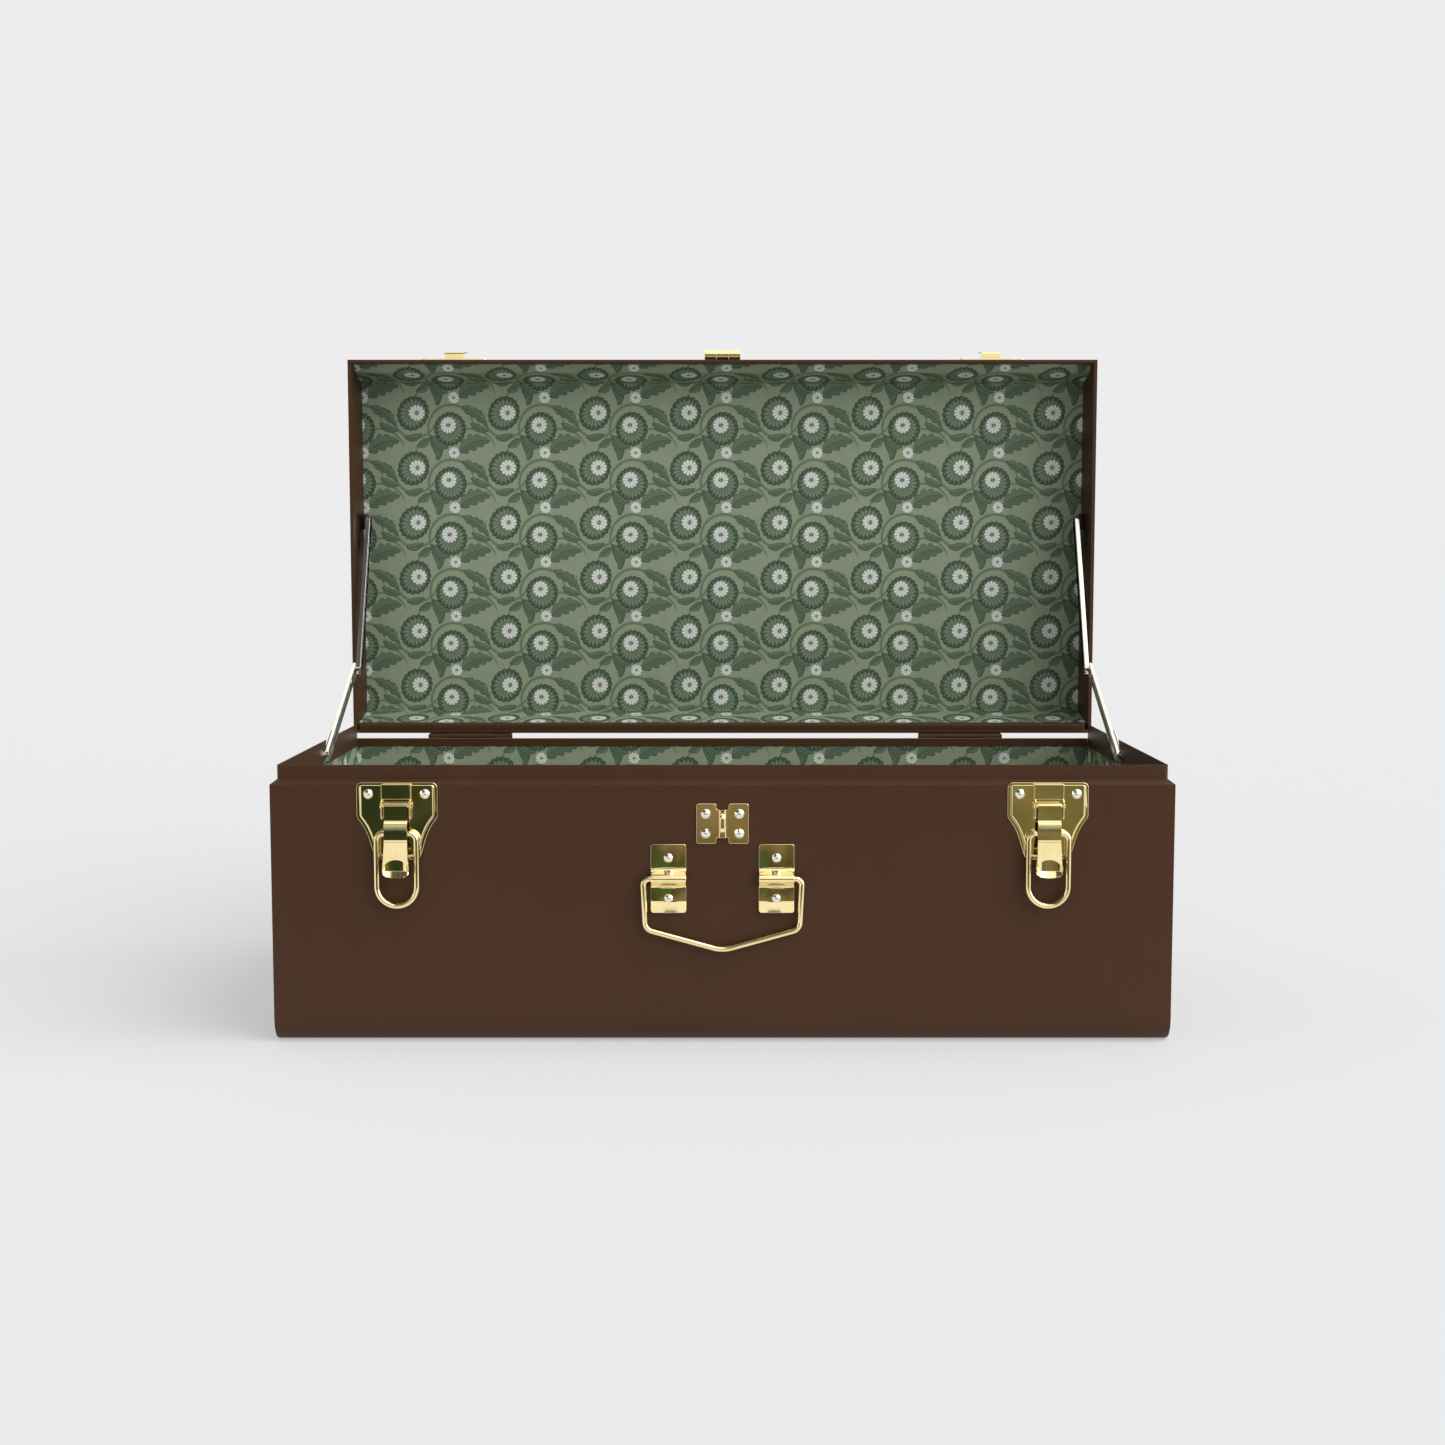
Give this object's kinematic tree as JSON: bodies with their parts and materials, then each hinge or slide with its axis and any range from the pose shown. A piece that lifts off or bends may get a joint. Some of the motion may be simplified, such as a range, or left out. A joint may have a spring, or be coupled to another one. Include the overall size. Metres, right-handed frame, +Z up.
{
  "type": "footlocker",
  "caption": "Long low storage trunk with a hinged lid standing open on two folding stays, draw latches, hasp and staple, and a carrying bail.",
  "frame": {"origin": "centre of the trunk body's underside, on the floor", "axes": "+X along the trunk's length to the right, +Y towards the hinges, +Z up"},
  "size_m": [0.76, 0.4643, 0.6163],
  "materials": {
    "brown_paint": "satin brown enamel on sheet steel",
    "fibreboard": "plain compressed board",
    "lining_print": "matt paper with a sage green flower print",
    "brass": "polished plated brass",
    "nickel": "polished nickel plate",
    "dark_steel": "dark enamel"
  },
  "bodies": {
    "body": {"body_wrap": "brown_paint", "body_end_left": "brown_paint", "body_end_right": "brown_paint", "neck_band": "brown_paint", "rear_rail": "brown_paint", "board_wrap": "fibreboard", "board_end_left": "fibreboard", "board_end_right": "fibreboard", "body_lining": "lining_print", "hinge_leaf_body_left": "brown_paint", "hinge_leaf_body_right": "brown_paint", "hinge_pins": "dark_steel", "hinge_rivets_body": "brown_paint", "latch_plate_left": "brass", "latch_plate_right": "brass", "latch_bracket_left": "brass", "latch_bracket_right": "brass", "latch_pins": "brass", "latch_rivets": "nickel", "hasp_staple": "brass", "staple_rivets": "nickel", "handle_clip_left": "brass", "handle_clip_right": "brass", "handle_rivets": "nickel", "stay_foot_plate_left": "nickel", "stay_foot_plate_right": "nickel", "stay_foot_rivets": "nickel"},
    "lid": {"lid_wrap": "brown_paint", "lid_end_left": "brown_paint", "lid_end_right": "brown_paint", "lid_cheek_left": "brown_paint", "lid_cheek_right": "brown_paint", "lid_board": "fibreboard", "lid_lining": "lining_print", "lid_rear_rail": "brown_paint", "hinge_leaf_lid_left": "brown_paint", "hinge_leaf_lid_right": "brown_paint", "hinge_rivets_lid": "brown_paint", "catch_plate_left": "brass", "catch_plate_right": "brass", "catch_rivets": "nickel", "hasp_leaf": "brass", "hasp_pin": "brass", "hasp_rivets": "nickel", "stay_head_bracket_left": "dark_steel", "stay_head_bracket_right": "dark_steel", "stay_head_rivets": "nickel"},
    "hasp": {"hasp_strap": "brass"},
    "handle": {"handle_bail": "brass"},
    "lever_left": {"latch_lever_left": "brass"},
    "loop_left": {"latch_loop_left": "brass"},
    "lower_stay_left": {"stay_lower_left": "nickel"},
    "upper_stay_left": {"stay_upper_left": "nickel", "stay_knee_rivet_left": "nickel"},
    "lever_right": {"latch_lever_right": "brass"},
    "loop_right": {"latch_loop_right": "brass"},
    "lower_stay_right": {"stay_lower_right": "nickel"},
    "upper_stay_right": {"stay_upper_right": "nickel", "stay_knee_rivet_right": "nickel"}
  },
  "joints": [
    {"name": "lid_hinge", "type": "hinge", "parent": "body", "child": "lid", "pos_m": [0, 0.19325, 0.22305], "axis": [1, 0, 0], "range_deg": [0, 90]},
    {"name": "latch_lever_left", "type": "hinge", "parent": "body", "child": "lever_left", "pos_m": [-0.273, -0.1965, 0.2035], "axis": [-1, 0, 0], "range_deg": [0, 150]},
    {"name": "latch_loop_left", "type": "hinge", "parent": "lever_left", "child": "loop_left", "pos_m": [-0.273, -0.1975, 0.1804], "axis": [1, 0, 0], "range_deg": [-183, 0]},
    {"name": "stay_foot_left", "type": "hinge", "parent": "body", "child": "lower_stay_left", "pos_m": [-0.3704, 0.0118, 0.2235], "axis": [1, 0, 0], "range_deg": [0, 193.3]},
    {"name": "stay_head_left", "type": "hinge", "parent": "lid", "child": "upper_stay_left", "pos_m": [-0.3662, 0.2265, 0.4429], "axis": [1, 0, 0], "range_deg": [-97.8, 0]},
    {"name": "latch_lever_right", "type": "hinge", "parent": "body", "child": "lever_right", "pos_m": [0.273, -0.1965, 0.2035], "axis": [-1, 0, 0], "range_deg": [0, 150]},
    {"name": "latch_loop_right", "type": "hinge", "parent": "lever_right", "child": "loop_right", "pos_m": [0.273, -0.1975, 0.1804], "axis": [1, 0, 0], "range_deg": [-183, 0]},
    {"name": "stay_foot_right", "type": "hinge", "parent": "body", "child": "lower_stay_right", "pos_m": [0.3704, 0.0118, 0.2235], "axis": [1, 0, 0], "range_deg": [0, 193.3]},
    {"name": "stay_head_right", "type": "hinge", "parent": "lid", "child": "upper_stay_right", "pos_m": [0.3662, 0.2265, 0.4429], "axis": [1, 0, 0], "range_deg": [-97.8, 0]},
    {"name": "hasp_swing", "type": "hinge", "parent": "lid", "child": "hasp", "pos_m": [0, 0.1992, 0.6115], "axis": [1, 0, 0], "range_deg": [0, 180]},
    {"name": "handle_swing", "type": "hinge", "parent": "body", "child": "handle", "pos_m": [0, -0.1954, 0.1416], "axis": [-1, 0, 0], "range_deg": [0, 150]}
  ],
  "couplings": [
    {"joint": "stay_foot_left", "follows": "lid_hinge", "ratio": 2.1467},
    {"joint": "stay_head_left", "follows": "lid_hinge", "ratio": -1.0857},
    {"joint": "stay_foot_right", "follows": "lid_hinge", "ratio": 2.1467},
    {"joint": "stay_head_right", "follows": "lid_hinge", "ratio": -1.0857}
  ]
}
